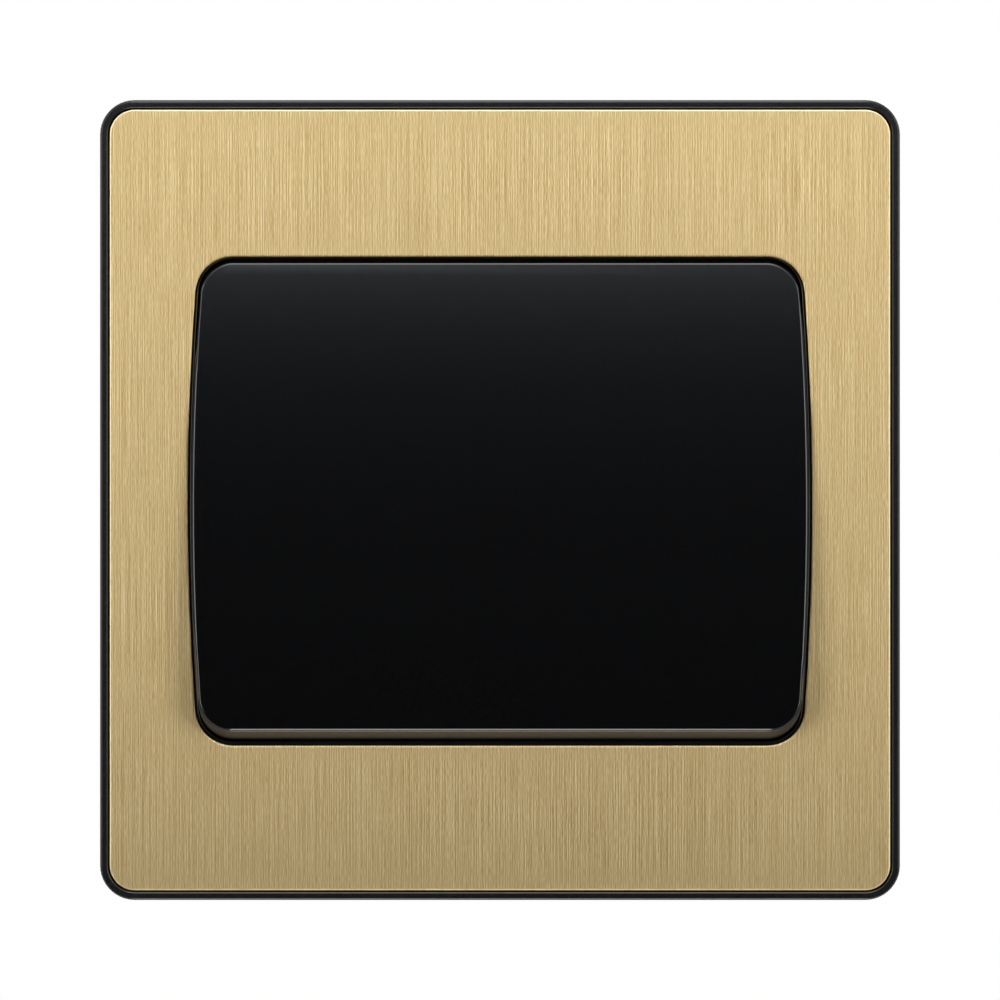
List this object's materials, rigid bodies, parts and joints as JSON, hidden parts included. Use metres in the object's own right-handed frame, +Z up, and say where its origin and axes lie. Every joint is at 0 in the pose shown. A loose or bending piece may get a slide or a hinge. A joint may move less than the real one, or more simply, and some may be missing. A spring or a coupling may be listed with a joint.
{
  "type": "rocker light switch",
  "caption": "Square wall light switch with a wide bowed black rocker in a brushed brass-finish plate, black edge trim, clip-on front and a see-saw contact mechanism behind.",
  "frame": {"origin": "centre of the plate on the wall plane, midway between the two fixing slots", "axes": "+Z up as fitted, +X to the right as seen from the front, +Y into the wall; the front faces -Y"},
  "size_m": [0.095, 0.0333, 0.095],
  "materials": {
    "brushed_brass": "vertically brushed, lacquered brass tone",
    "black_satin_plastic": "satin black moulding",
    "black_matte_plastic": "fine textured black moulding",
    "gloss_black_plastic": "high gloss black",
    "pale_thermoset": "matte off-white thermoset",
    "natural_nylon": "natural nylon",
    "spring_steel": "drawn wire",
    "copper_alloy": "rolled strip",
    "silver_contact": "silver alloy contact",
    "terminal_brass": "drawn brass",
    "zinc_steel": "zinc-plated steel"
  },
  "bodies": {
    "base": {"front_plate": "brushed_brass", "trim_frame": "black_satin_plastic", "mounting_frame": "black_matte_plastic", "mechanism_cover": "black_matte_plastic", "cover_screws": "zinc_steel", "mechanism_housing": "pale_thermoset", "common_strip": "copper_alloy", "l1_strip": "copper_alloy", "l2_strip": "copper_alloy", "fixed_contact_rivets": "silver_contact", "common_terminal": "terminal_brass", "l1_terminal": "terminal_brass", "l2_terminal": "terminal_brass", "earth_terminal": "terminal_brass", "terminal_screws": "zinc_steel", "earth_strap": "copper_alloy"},
    "rocker": {"rocker_paddle": "gloss_black_plastic", "rocker_carrier": "natural_nylon", "plunger_spring": "spring_steel"},
    "plunger": {"plunger": "natural_nylon"},
    "contact": {"moving_contact": "copper_alloy", "moving_contact_rivets": "silver_contact"}
  },
  "joints": [
    {"name": "rocker_hinge", "type": "hinge", "parent": "base", "child": "rocker", "pos_m": [0, -0.005, 0], "axis": [1, 0, 0], "range_deg": [0, 10.4]},
    {"name": "plunger_slide", "type": "slide", "parent": "rocker", "child": "plunger", "axis": [0, -0.9959, 0.0906], "range_m": [0, 0.0008], "stiffness_N_per_m": 400, "springref_m": -0.002, "deforming": ["plunger_spring"]},
    {"name": "contact_hinge", "type": "hinge", "parent": "base", "child": "contact", "pos_m": [0, 0.006, 0], "axis": [1, 0, 0], "range_deg": [-18.73, 0]}
  ],
  "couplings": [
    {"joint": "contact_hinge", "follows": "rocker_hinge", "ratio": -1.8}
  ]
}
